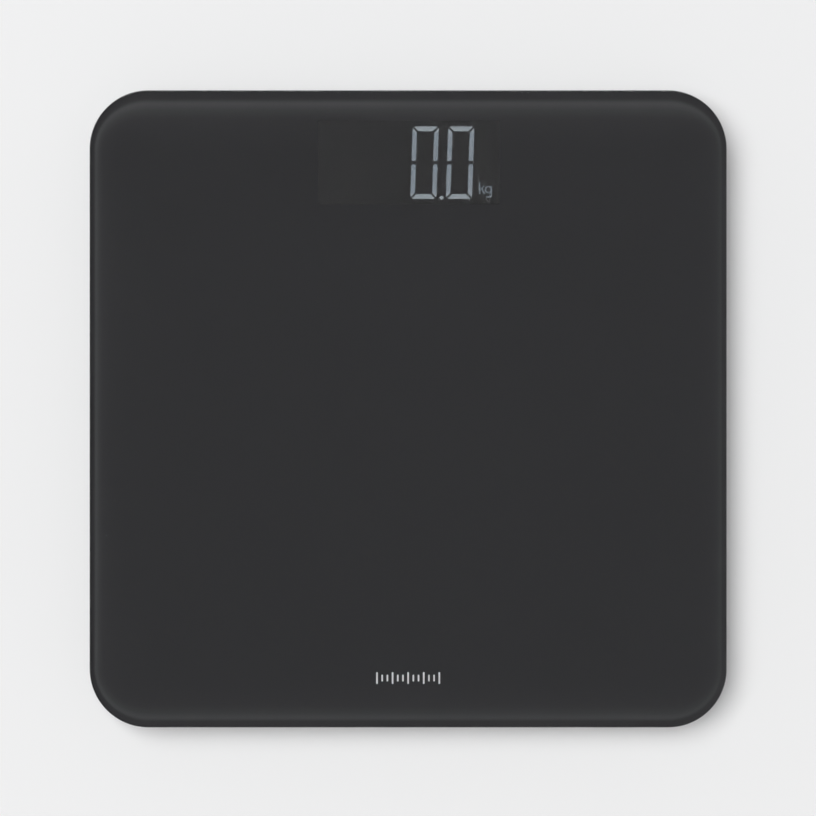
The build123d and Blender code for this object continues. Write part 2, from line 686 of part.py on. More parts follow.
for corner in CORNERS:
    with BuildPart() as foot_pad:
        with BuildSketch(corner_plane(corner, 0)):
            Circle(PAD_RADIUS)
        extrude(amount=PAD_THICK)
        fillet(foot_pad.edges().group_by(Axis.Z)[0], PAD_THICK / 3)
        for ring in PAD_RINGS:
            with BuildSketch(corner_plane(corner, 0)):
                Circle(PAD_RADIUS * ring + PAD_GROOVE)
                Circle(PAD_RADIUS * ring - PAD_GROOVE, mode=Mode.SUBTRACT)
            extrude(amount=PAD_GROOVE, mode=Mode.SUBTRACT)
    foot_pad.part.label = f"foot_pad_{corner}"
    export_step(foot_pad.part, f"parts/foot_pad_{corner}.step")

    with BuildPart() as foot_shoe:
        with BuildSketch(corner_plane(corner, SHOE_BOTTOM)):
            Circle(SHOE_RADIUS)
        extrude(amount=FLANGE_TOP - SHOE_BOTTOM)
        fillet(foot_shoe.edges().group_by(Axis.Z)[0], PAD_SEAT / 2)
        with BuildSketch(corner_plane(corner, FLANGE_BOTTOM)):
            Circle(SHOE_FLANGE_RADIUS)
        extrude(amount=FLANGE_TOP - FLANGE_BOTTOM)
        with BuildSketch(corner_plane(corner, SHOE_BOTTOM)):
            Circle(PAD_RADIUS + PAD_SEAT / 4)
        extrude(amount=PAD_SEAT, mode=Mode.SUBTRACT)
        with BuildSketch(corner_plane(corner, SHOE_DECK)):
            Circle(SHOE_RADIUS - SHOE_WALL)
        extrude(amount=FLANGE_TOP - SHOE_DECK, mode=Mode.SUBTRACT)
        with BuildSketch(corner_plane(corner, SHOE_DECK)):
            with PolarLocations((SHOE_RADIUS - SHOE_WALL) / 2, SHOE_RIBS):
                Rectangle(SHOE_RADIUS - SHOE_WALL, SHOE_WALL)
        extrude(amount=FLANGE_TOP - SHOE_DECK)
        with BuildSketch(corner_plane(corner, SHOE_DECK)):
            Circle(BOSS_RADIUS)
        extrude(amount=CELL_BOTTOM - SHOE_DECK)
    foot_shoe.part.label = f"foot_shoe_{corner}"
    export_step(foot_shoe.part, f"parts/foot_shoe_{corner}.step")

    with BuildPart() as load_cell:
        with BuildSketch(corner_plane(corner, CELL_BOTTOM)):
            RectangleRounded(CELL_SIDE, CELL_SIDE, HOLDER_CORNER)
            slot_width = TONGUE_WIDTH + 2 * TONGUE_SLOT
            slot_length = TONGUE_TIP - TONGUE_ROOT + TONGUE_SLOT
            with Locations((TONGUE_ROOT + slot_length / 2, 0)):
                Rectangle(slot_length, slot_width, mode=Mode.SUBTRACT)
            with Locations((TONGUE_TIP - slot_length / 2, 0)):
                Rectangle(slot_length, TONGUE_WIDTH)
        extrude(amount=CELL_THICK)
        with BuildSketch(corner_plane(corner, CELL_BOTTOM)):
            hole_x = HOLDER_CORNER / 2 - CELL_SIDE / 2
            hole_y = CELL_SIDE / 2 - TOOLING_HOLE_INSET
            with Locations((hole_x, hole_y), (hole_x, -hole_y)):
                Circle(TOOLING_HOLE)
        extrude(amount=CELL_THICK, mode=Mode.SUBTRACT)
    load_cell.part.label = f"load_cell_{corner}"
    export_step(load_cell.part, f"parts/load_cell_{corner}.step")

    with BuildPart() as cell_holder:
        with BuildSketch(corner_plane(corner, CELL_BOTTOM)):
            RectangleRounded(HOLDER_SIDE, HOLDER_SIDE, HOLDER_CORNER)
        extrude(amount=TRAY_TOP - CELL_BOTTOM)
        # screw ears, each a rounded tongue ending over its boss
        for ear_x, ear_y in ear_places(corner):
            with BuildSketch(corner_plane(corner, EAR_BOTTOM)):
                with Locations((ear_x, ear_y)):
                    Circle(EAR_RADIUS)
                along_x = abs(ear_x) > abs(ear_y)
                arm = EAR_REACH - HOLDER_SIDE / 2 + EAR_ROOT
                middle = (HOLDER_SIDE / 2 + EAR_REACH - EAR_ROOT) / 2 / EAR_REACH
                arm_at = (ear_x * middle, ear_y) if along_x else (ear_x, ear_y * middle)
                arm_size = (arm, 2 * EAR_RADIUS) if along_x else (2 * EAR_RADIUS, arm)
                with Locations(arm_at):
                    Rectangle(*arm_size)
            extrude(amount=EAR_THICK)
        # seat for the cell, room for its tongue to bend, and the way out for its wires
        with BuildSketch(corner_plane(corner, CELL_BOTTOM)):
            seat = CELL_SIDE + CELL_PLAY
            RectangleRounded(seat, seat, HOLDER_CORNER)
        extrude(amount=CELL_THICK, mode=Mode.SUBTRACT)
        with BuildSketch(corner_plane(corner, CELL_TOP)):
            Rectangle(RELIEF_SIDE, RELIEF_SIDE)
            with Locations((-HOLDER_SIDE / 2, 0)):
                Rectangle(HOLDER_SIDE, WIRE_CHANNEL)
        extrude(amount=RELIEF_HEIGHT, mode=Mode.SUBTRACT)
        # hollows on top, leaving a cross of ribs
        hollow = (HOLDER_SIDE - 3 * HOLDER_RIB) / 2
        hollow_floor = CELL_TOP + RELIEF_HEIGHT + HOLDER_PLATE
        with BuildSketch(corner_plane(corner, hollow_floor)):
            with GridLocations(hollow + HOLDER_RIB, hollow + HOLDER_RIB, 2, 2):
                RectangleRounded(hollow, hollow, HOLDER_CORNER - HOLDER_RIB)
        extrude(amount=TRAY_TOP - hollow_floor, mode=Mode.SUBTRACT)
        with BuildSketch(corner_plane(corner, EAR_BOTTOM)):
            with Locations(*ear_places(corner)):
                Circle(CELL_SCREW + SCREW_PLAY)
        extrude(amount=EAR_THICK, mode=Mode.SUBTRACT)
    cell_holder.part.label = f"cell_holder_{corner}"
    export_step(cell_holder.part, f"parts/cell_holder_{corner}.step")

with BuildPart() as strain_gauges:
    for corner in CORNERS:
        with BuildSketch(corner_plane(corner, CELL_TOP)):
            with Locations((GAUGE_PLACE, 0)):
                Rectangle(GAUGE_LENGTH, GAUGE_WIDTH)
        extrude(amount=GAUGE_THICK)
strain_gauges.part.label = "strain_gauges"
export_step(strain_gauges.part, "parts/strain_gauges.step")

with BuildPart() as holder_screws:
    screw_length = EAR_BOTTOM + EAR_THICK - FLOOR_TOP - SCREW_END_GAP
    for side, end in CORNERS.values():
        for ear_x, ear_y in ((-side * EAR_REACH, end * EAR_OFFSET), (0, -end * EAR_REACH)):
            seat = (side * FOOT_CENTRE + ear_x, end * FOOT_CENTRE + ear_y, EAR_BOTTOM + EAR_THICK)
            with Locations(seat):
                pan_head_screw(CELL_SCREW, CELL_SCREW_HEAD, screw_length)
holder_screws.part.label = "holder_screws"
export_step(holder_screws.part, "parts/holder_screws.step")

# ---- circuit board and display ----

with BuildPart() as circuit_board:
    with BuildSketch(level(BOARD_BOTTOM)):
        with Locations((DISPLAY_X, BOARD_Y)):
            RectangleRounded(BOARD_WIDTH, BOARD_LENGTH, BOARD_CORNER)
        with Locations(*BOARD_POSTS):
            Circle(BOARD_SCREW + BOARD_HOLE_PLAY, mode=Mode.SUBTRACT)
    extrude(amount=BOARD_THICK)
circuit_board.part.label = "circuit_board"
export_step(circuit_board.part, "parts/circuit_board.step")

with BuildPart() as board_screws:
    for post_x, post_y in BOARD_POSTS:
        with Locations((post_x, post_y, BOARD_TOP)):
            pan_head_screw(BOARD_SCREW, BOARD_SCREW_HEAD, BOARD_TOP - FLOOR_TOP)
board_screws.part.label = "board_screws"
export_step(board_screws.part, "parts/board_screws.step")

with BuildPart() as controller_chip:
    with BuildSketch(level(BOARD_TOP + LEAD_THICK, CHIP_X, CHIP_Y)):
        Rectangle(CHIP_LENGTH, CHIP_WIDTH)
    extrude(amount=CHIP_HEIGHT)
    chamfer(controller_chip.edges().group_by(Axis.Z)[-1], LEAD_THICK)
    dot_x = CHIP_X - CHIP_LENGTH / 2 + CHIP_DOT_X
    with Locations((dot_x, CHIP_Y - CHIP_DOT_Y, BOARD_TOP + LEAD_THICK + CHIP_HEIGHT)):
        Cylinder(CHIP_DOT_RADIUS, LEAD_THICK, mode=Mode.SUBTRACT)
controller_chip.part.label = "controller_chip"
export_step(controller_chip.part, "parts/controller_chip.step")

with BuildPart() as chip_leads:
    shoulder_z = BOARD_TOP + CHIP_HEIGHT / 2
    for side in (-1, 1):
        lead_y = CHIP_Y + side * (CHIP_WIDTH + LEAD_REACH) / 2
        foot_y = CHIP_Y + side * (CHIP_WIDTH / 2 + LEAD_REACH)
        with Locations((CHIP_X, lead_y, shoulder_z)):
            with GridLocations(LEAD_PITCH, 0, LEAD_COUNT, 1):
                Box(LEAD_WIDTH, LEAD_REACH, LEAD_THICK)
        lead_height = shoulder_z + LEAD_THICK / 2 - BOARD_TOP
        with Locations((CHIP_X, foot_y, BOARD_TOP + lead_height / 2)):
            with GridLocations(LEAD_PITCH, 0, LEAD_COUNT, 1):
                Box(LEAD_WIDTH, LEAD_THICK, lead_height)
chip_leads.part.label = "chip_leads"
export_step(chip_leads.part, "parts/chip_leads.step")

with BuildPart() as capacitors:
    with BuildSketch(level(BOARD_TOP, CAPACITOR_X, CHIP_Y)):
        with GridLocations(CAPACITOR_PITCH, 0, 2, 1):
            Circle(CAPACITOR_RADIUS)
    extrude(amount=CAPACITOR_HEIGHT)
    fillet(capacitors.edges().group_by(Axis.Z)[-1], CAPACITOR_RADIUS / 6)
capacitors.part.label = "capacitors"
export_step(capacitors.part, "parts/capacitors.step")

with BuildPart() as chip_resistors:
    with BuildSketch(level(BOARD_TOP, RESISTOR_X, CHIP_Y)):
        with GridLocations(RESISTOR_PITCH, RESISTOR_ROW, RESISTOR_COLUMNS, 2):
            Rectangle(RESISTOR_SIZE[0], RESISTOR_SIZE[1])
    extrude(amount=RESISTOR_SIZE[2])
chip_resistors.part.label = "chip_resistors"
export_step(chip_resistors.part, "parts/chip_resistors.step")

with BuildPart() as wire_sockets:
    with BuildSketch(level(BOARD_TOP, 0, PLUG_FRONT + PLUG_DEPTH + SOCKET_DEPTH / 2)):
        with Locations(*[(x, 0) for x in SOCKET_X]):
            Rectangle(SOCKET_WIDTH, SOCKET_DEPTH)
    extrude(amount=SOCKET_HEIGHT)
    # side wings that guide the plug
    with BuildSketch(level(BOARD_TOP, 0, PLUG_FRONT + WING_FROM_FRONT)):
        wing = (SOCKET_WIDTH - PLUG_WIDTH) / 2 - SCREW_PLAY
        for x in SOCKET_X:
            with Locations((x, 0)):
                with GridLocations(SOCKET_WIDTH - wing, 0, 2, 1):
                    Rectangle(wing, WING_DEPTH)
    extrude(amount=SOCKET_HEIGHT)
wire_sockets.part.label = "wire_sockets"
export_step(wire_sockets.part, "parts/wire_sockets.step")

with BuildPart() as wire_plugs:
    with BuildSketch(level(BOARD_TOP + LEAD_THICK, 0, PLUG_FRONT + PLUG_DEPTH / 2)):
        with Locations(*[(x, 0) for x in SOCKET_X]):
            Rectangle(PLUG_WIDTH, PLUG_DEPTH)
    extrude(amount=PLUG_HEIGHT)
    # crimp windows, one over each wire
    plug_top = BOARD_TOP + LEAD_THICK + PLUG_HEIGHT
    with BuildSketch(level(plug_top, 0, PLUG_FRONT + CRIMP_FROM_FRONT)):
        for x in SOCKET_X:
            with Locations((x, 0)):
                with GridLocations(WIRE_PITCH, 0, 3, 1):
                    Rectangle(CRIMP_WIDTH, CRIMP_LENGTH)
    extrude(amount=-CRIMP_DEPTH, mode=Mode.SUBTRACT)
wire_plugs.part.label = "wire_plugs"
export_step(wire_plugs.part, "parts/wire_plugs.step")

with BuildPart() as display_housing:
    with BuildSketch(level(BOARD_TOP)):
        with Locations((DISPLAY_X, DISPLAY_Y)):
            RectangleRounded(HOUSING_WIDTH, HOUSING_HEIGHT, WINDOW_CORNER)
    extrude(amount=TRAY_TOP - BOARD_TOP)
    with BuildSketch(level(BOARD_TOP)):
        bars(lambda digit, name: True)
        with Locations((POINT_X, POINT_Y)):
            Circle(POINT_RADIUS)
    extrude(amount=TRAY_TOP - BOARD_TOP, mode=Mode.SUBTRACT)
    with BuildSketch(level(DIFFUSER_BOTTOM, SYMBOL_X, SYMBOL_Y)):
        unit_symbol_outline()
    extrude(amount=DIFFUSER_THICK, mode=Mode.SUBTRACT)
    with BuildSketch(level(BOARD_TOP, SYMBOL_X, SYMBOL_Y + SYMBOL_HEIGHT / 2)):
        Circle(SYMBOL_WELL_RADIUS)
    extrude(amount=DIFFUSER_BOTTOM - BOARD_TOP, mode=Mode.SUBTRACT)
display_housing.part.label = "display_housing"
export_step(display_housing.part, "parts/display_housing.step")

with BuildPart() as lit_bars:
    with BuildSketch(level(DIFFUSER_BOTTOM)):
        bars(is_lit)
    extrude(amount=DIFFUSER_THICK)
    with BuildSketch(level(DIFFUSER_BOTTOM, POINT_X, POINT_Y)):
        Circle(POINT_RADIUS)
    extrude(amount=DIFFUSER_THICK)
lit_bars.part.label = "lit_bars"
export_step(lit_bars.part, "parts/lit_bars.step")

with BuildPart() as unlit_bars:
    with BuildSketch(level(DIFFUSER_BOTTOM)):
        bars(lambda digit, name: not is_lit(digit, name))
    extrude(amount=DIFFUSER_THICK)
unlit_bars.part.label = "unlit_bars"
export_step(unlit_bars.part, "parts/unlit_bars.step")

with BuildPart() as unit_symbol:
    with BuildSketch(level(DIFFUSER_BOTTOM, SYMBOL_X, SYMBOL_Y)):
        unit_symbol_outline()
    extrude(amount=DIFFUSER_THICK)
unit_symbol.part.label = "unit_symbol"
export_step(unit_symbol.part, "parts/unit_symbol.step")

with BuildPart() as led_chips:
    for digit in range(DIGITS):
        for name, points in bar_shapes().items():
            centre_x = (min(x for x, _ in points) + max(x for x, _ in points)) / 2
            centre_y = (min(y for _, y in points) + max(y for _, y in points)) / 2
            place = leaning([(centre_x, centre_y)], digit_centre(digit), DIGIT_Y)[0]
            level_bar = name in ("top", "middle", "bottom")
            chip = (LED_LENGTH, LED_WIDTH) if level_bar else (LED_WIDTH, LED_LENGTH)
            with BuildSketch(level(BOARD_TOP, *place)):
                Rectangle(*chip)
            extrude(amount=LED_HEIGHT)
    with BuildSketch(level(BOARD_TOP, SYMBOL_X, SYMBOL_Y + SYMBOL_HEIGHT / 2)):
        Rectangle(LED_WIDTH, LED_LENGTH)
    extrude(amount=LED_HEIGHT)
led_chips.part.label = "led_chips"
export_step(led_chips.part, "parts/led_chips.step")

with BuildPart() as display_gasket:
    with BuildSketch(level(TRAY_TOP)):
        with Locations((DISPLAY_X, DISPLAY_Y)):
            Rectangle(WINDOW_WIDTH + 2 * GASKET_WIDTH, WINDOW_HEIGHT + GASKET_WIDTH)
            Rectangle(WINDOW_WIDTH, WINDOW_HEIGHT, mode=Mode.SUBTRACT)
    extrude(amount=TAPE_THICK)
display_gasket.part.label = "display_gasket"
export_step(display_gasket.part, "parts/display_gasket.step")

# ---- unit button ----

with BuildPart() as unit_button:
    cap_bottom = TRAY_BOTTOM + BUTTON_RECESS
    flange_bottom = FLOOR_TOP + BUTTON_FLOAT
    with BuildSketch(level(cap_bottom, BUTTON_X, BUTTON_Y)):
        Circle(BUTTON_RADIUS)
    extrude(amount=flange_bottom - cap_bottom)
    fillet(unit_button.edges().group_by(Axis.Z)[0], BUTTON_EDGE_ROUND)
    with BuildSketch(level(flange_bottom, BUTTON_X, BUTTON_Y)):
        Circle(BUTTON_FLANGE_RADIUS)
    extrude(amount=BUTTON_FLANGE)
unit_button.part.label = "unit_button"
export_step(unit_button.part, "parts/unit_button.step")

with BuildPart() as switch_plunger:
    plunger_bottom = FLOOR_TOP + BUTTON_FLOAT + BUTTON_FLANGE
    with BuildSketch(level(plunger_bottom, BUTTON_X, BUTTON_Y)):
        Circle(PLUNGER_RADIUS)
    extrude(amount=PLUNGER_TOP - plunger_bottom)
switch_plunger.part.label = "switch_plunger"
export_step(switch_plunger.part, "parts/switch_plunger.step")

with BuildPart() as button_switch:
    with BuildSketch(level(SWITCH_BOTTOM, BUTTON_X, BUTTON_Y)):
        RectangleRounded(SWITCH_SIDE, SWITCH_SIDE, SWITCH_CORNER)
    extrude(amount=BOARD_BOTTOM - SWITCH_BOTTOM)
    with BuildSketch(level(SWITCH_BOTTOM, BUTTON_X, BUTTON_Y)):
        Circle(PLUNGER_RADIUS + PLUNGER_PLAY)
    extrude(amount=BOARD_BOTTOM - SWITCH_BOTTOM - PLUNGER_PLAY, mode=Mode.SUBTRACT)
button_switch.part.label = "button_switch"
export_step(button_switch.part, "parts/button_switch.step")

# ---- batteries, contacts and door ----

for number, (pointing, row_y) in enumerate(BATTERY_ROWS, start=1):
    with BuildPart() as battery:
        foot_plane = Plane(
            origin=(pointing * (BATTERY_TIP - BATTERY_LENGTH), row_y, BATTERY_Z),
            z_dir=(pointing, 0, 0),
        )
        with BuildSketch(foot_plane):
            Circle(BATTERY_RADIUS)
        extrude(amount=BATTERY_LENGTH - BATTERY_NUB)
        fillet(battery.edges().filter_by(GeomType.CIRCLE), BATTERY_NUB / 2)
        with BuildSketch(foot_plane.offset(BATTERY_LENGTH - BATTERY_NUB)):
            Circle(BATTERY_NUB_RADIUS)
        extrude(amount=BATTERY_NUB)
    battery.part.label = f"battery_{number}"
    export_step(battery.part, f"parts/battery_{number}.step")

with BuildPart() as battery_contacts:
    # on each end wall: one plate alone, and one that joins two cells
    for side, tail_y in TAIL_PLACES:
        plate_x = side * (CAVITY_LENGTH - CONTACT_THICK) / 2
        with Locations((plate_x, tail_y, BATTERY_Z)):
            Box(CONTACT_THICK, CONTACT_SIZE, CONTACT_SIZE)
        with Locations((plate_x, BATTERY_BOX_Y - side * BATTERY_PITCH / 2, BATTERY_Z)):
            Box(CONTACT_THICK, CONTACT_SIZE + BATTERY_PITCH, CONTACT_SIZE)
        with Locations((side * (CAVITY_LENGTH + TAIL_REACH) / 2, tail_y, WIRE_Z)):
            Box(TAIL_REACH, TAIL_WIDTH, TAIL_THICK)
    for pointing, row_y in BATTERY_ROWS:
        dimple_x = pointing * (BATTERY_TIP + CONTACT_DIMPLE / 2)
        with Locations((dimple_x, row_y, BATTERY_Z)):
            Cylinder(CONTACT_DIMPLE_RADIUS, CONTACT_DIMPLE, rotation=(0, 90, 0))
battery_contacts.part.label = "battery_contacts"
export_step(battery_contacts.part, "parts/battery_contacts.step")

with BuildPart() as battery_springs:
    for pointing, row_y in BATTERY_ROWS:
        start_x = -pointing * (CAVITY_LENGTH / 2 - CONTACT_THICK - SPRING_WIRE)
        coil_length = SPRING_SPACE - 2 * SPRING_WIRE
        with BuildLine() as coil:
            Helix(
                coil_length / SPRING_TURNS,
                coil_length,
                SPRING_RADIUS,
                center=(start_x, row_y, BATTERY_Z),
                direction=(pointing, 0, 0),
            )
        with BuildSketch(Plane(origin=coil.line @ 0, z_dir=coil.line % 0)):
            Circle(SPRING_WIRE)
        sweep(path=coil.line, is_frenet=True)
battery_springs.part.label = "battery_springs"
export_step(battery_springs.part, "parts/battery_springs.step")

with BuildPart() as battery_door:
    # plate with its hinge edge rounded about the hinge line
    plate_width = HINGE_Y - LATCH_Y
    with BuildSketch(level(TRAY_BOTTOM, 0, LATCH_Y + plate_width / 2)):
        Rectangle(DOOR_LENGTH, plate_width)
    extrude(amount=DOOR_THICK)
    latch_corners = battery_door.edges().filter_by(Axis.Z).group_by(Axis.Y)[0]
    fillet(latch_corners, DOOR_CORNER)
    with Locations((0, HINGE_Y, HINGE_Z)):
        Cylinder(DOOR_THICK / 2, DOOR_LENGTH, rotation=(0, 90, 0))
    # tabs that hook over the tray's lip
    with BuildSketch(level(DOOR_TOP, 0, HINGE_Y + TAB_REACH / 2)):
        with GridLocations(2 * TAB_X, 0, 2, 1):
            Rectangle(TAB_WIDTH, TAB_REACH)
    extrude(amount=-TAB_THICK)
    # spring tongue with its nose and grip grooves
    with BuildSketch(level(TRAY_BOTTOM, 0, LATCH_Y + LATCH_DEPTH / 2)):
        with GridLocations(LATCH_WIDTH + LATCH_SLOT, 0, 2, 1):
            Rectangle(LATCH_SLOT, LATCH_DEPTH)
    extrude(amount=DOOR_THICK, mode=Mode.SUBTRACT)
    with Locations((0, LATCH_Y, HINGE_Z)):
        Box(LATCH_WIDTH - LATCH_SLOT, 2 * LATCH_NOSE, DOOR_THICK / 2)
    with BuildSketch(level(TRAY_BOTTOM, 0, LATCH_Y + LATCH_DEPTH / 2)):
        with GridLocations(0, GRIP_PITCH, 1, GRIP_GROOVES):
            Rectangle(LATCH_WIDTH - 2 * LATCH_SLOT, GRIP_PITCH / 2)
    extrude(amount=GRIP_DEPTH, mode=Mode.SUBTRACT)
battery_door.part.label = "battery_door"
export_step(battery_door.part, "parts/battery_door.step")

# ---- wires ----

for colour, lane in (("red", -1), ("white", 0), ("black", 1)):
    with BuildPart() as cell_wires:
        for corner in CORNERS:
            route = beside(cell_wire_route(corner), lane * WIRE_PITCH)
            with BuildLine(level(WIRE_Z)) as path:
                FilletPolyline(*route, radius=WIRE_BEND)
            with BuildSketch(Plane(origin=path.line @ 0, z_dir=path.line % 0)):
                Circle(WIRE_RADIUS)
            sweep()
    cell_wires.part.label = f"cell_wires_{colour}"
    export_step(cell_wires.part, f"parts/cell_wires_{colour}.step")

for (side, tail_y), colour in zip(TAIL_PLACES, ("red", "black")):
    with BuildPart() as battery_lead:
        lead_end = side * WIRE_PITCH
        route = [
            (side * (CAVITY_LENGTH / 2 + TAIL_REACH), tail_y),
            (side * BATTERY_RUN_X, tail_y),
            (side * BATTERY_RUN_X, BATTERY_RUN_Y),
            (lead_end, BATTERY_RUN_Y),
            (lead_end, PLUG_FRONT),
        ]
        with BuildLine(level(WIRE_Z)) as path:
            FilletPolyline(*route, radius=LEAD_BEND)
        with BuildSketch(Plane(origin=path.line @ 0, z_dir=path.line % 0)):
            Circle(WIRE_RADIUS)
        sweep()
    battery_lead.part.label = f"battery_lead_{colour}"
    export_step(battery_lead.part, f"parts/battery_lead_{colour}.step")
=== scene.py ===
import math

import bmesh
import bpy
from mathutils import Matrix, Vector


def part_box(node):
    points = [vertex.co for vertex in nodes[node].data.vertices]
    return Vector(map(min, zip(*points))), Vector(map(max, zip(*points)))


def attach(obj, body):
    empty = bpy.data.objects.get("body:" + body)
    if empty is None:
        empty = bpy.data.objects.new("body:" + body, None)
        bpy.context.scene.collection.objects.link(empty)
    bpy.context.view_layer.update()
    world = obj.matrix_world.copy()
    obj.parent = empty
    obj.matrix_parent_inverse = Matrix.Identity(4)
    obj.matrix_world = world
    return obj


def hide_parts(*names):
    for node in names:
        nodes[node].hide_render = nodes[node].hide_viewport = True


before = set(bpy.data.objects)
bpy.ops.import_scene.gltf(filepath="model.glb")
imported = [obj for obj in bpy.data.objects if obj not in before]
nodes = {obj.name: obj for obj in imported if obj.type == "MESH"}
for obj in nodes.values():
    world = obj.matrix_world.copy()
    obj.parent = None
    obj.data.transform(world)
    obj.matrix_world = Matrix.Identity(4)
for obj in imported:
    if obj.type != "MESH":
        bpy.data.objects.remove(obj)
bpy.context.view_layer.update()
MM = 0.001

# Platform glass: a tempered slab with a ground and polished edge
CORNER_RADIUS = 27.6 * MM
TOP_ROUND = 1.2 * MM
BOTTOM_ROUND = 0.4 * MM
INK_BITE = 0.03 * MM          # the ink is fired into the back of the glass by this much
CORNER_STEPS = 40
ROUND_STEPS = 10
FACE_MARGIN = 0.5 * MM        # flat strip kept inside the rounded edge

# Silver ruler ticks printed near the front edge, every third one long
TICK_COUNT = 13
TICK_LONG_EVERY = 3
TICK_WIDTH = 0.8 * MM
TICK_SHORT = 3.2 * MM
TICK_SIDES = 32

# Lit bars of the display, each standing clear of the walls of its light well
BAR_CLEAR = 0.16 * MM
BAR_AREA = 5.0 * MM * MM      # anything smaller is the decimal point
BAR_DEPTH = 1.5 * MM
MERGE_REACH = 0.001 * MM
FLAT_ANGLE = 0.01
FACING_UP = 0.9
CAP_START = 14.4 * MM         # level bars lie further than this from the middle of a digit
UPRIGHT_GLOW = (0.515, 0.62, 0.72)
UPRIGHT_GLOW_WARM = (0.57, 0.645, 0.735)
LEVEL_GLOW = (0.72, 0.82, 0.89)
SYMBOL_GLOW = (0.40, 0.48, 0.56)
GLOW_STRENGTH = 8.4

# Battery sleeves: where each band starts and is full, along the cell from its minus end
COPPER_EDGE = (31.8 * MM, 32.0 * MM)
PLUS_END = (43.4 * MM, 43.5 * MM)
MINUS_END = (0.35 * MM, 0.25 * MM)
SLEEVE_DARK = (0.02, 0.022, 0.028)
BARE_METAL = (0.62, 0.61, 0.58)

# Ink on the back of the glass, and a painted glow along its rear, front, left and right edges: painted light
# standing in for light that enters through the glass edge
INK_DARK = (0.0375, 0.0375, 0.040)
INK_LIGHT = (0.0395, 0.0395, 0.042)
PAINTED_GLOW_REACH = (5.8 * MM, 4.1 * MM, 2.65 * MM, 2.55 * MM)
PAINTED_GLOW_DEPTH = (0.047, 0.041, 0.031, 0.021)
FILM_DARK = (0.0255, 0.0255, 0.027)
FILM_LIGHT = (0.0275, 0.0275, 0.0285)
FILM_COVER = 0.8
PAINTED_GLOW_STOPS = ((0.0, 0.0), (0.5, 0.0), (0.68, 0.15), (0.85, 0.65), (1.0, 1.0), (1.15, 0.95),
              (1.5, 0.57), (2.2, 0.21), (3.0, 0.1), (4.2, 0.03), (5.0, 0.0))

# Studio
CAMERA_X = -0.00007
CAMERA_Y = 0.00042
CAMERA_HEIGHT = 1.0892
LENS = 100.0
SENSOR = 36.0
FLOOR_HALF = 6.0
SOFTBOX_PLACE = (-3.45, 2.0, 11.7)
SOFTBOX_AIM = (0.6, -0.4, 0.0)
SOFTBOX_SIZE = (9.0, 8.4)
SOFTBOX_POWER = 1570.0
STRIP_PLACE = (-0.1, 1.5, 0.95)
STRIP_AIM = (0.0, 0.0, 0.0)
STRIP_SIZE = (1.6, 0.3)
STRIP_POWER = 6.0
SKY_LOW = (0.85, 0.85, 0.86, 1)
SKY_TOP = (0.3, 0.3, 0.31, 1)
SKY_STOPS = ((0.12, 0.8), (0.45, 0.2), (0.9, 0.15), (0.97, 0.3))
SKY_BLUE = 1.02


# ---------------------------------------------------------------- material workshop

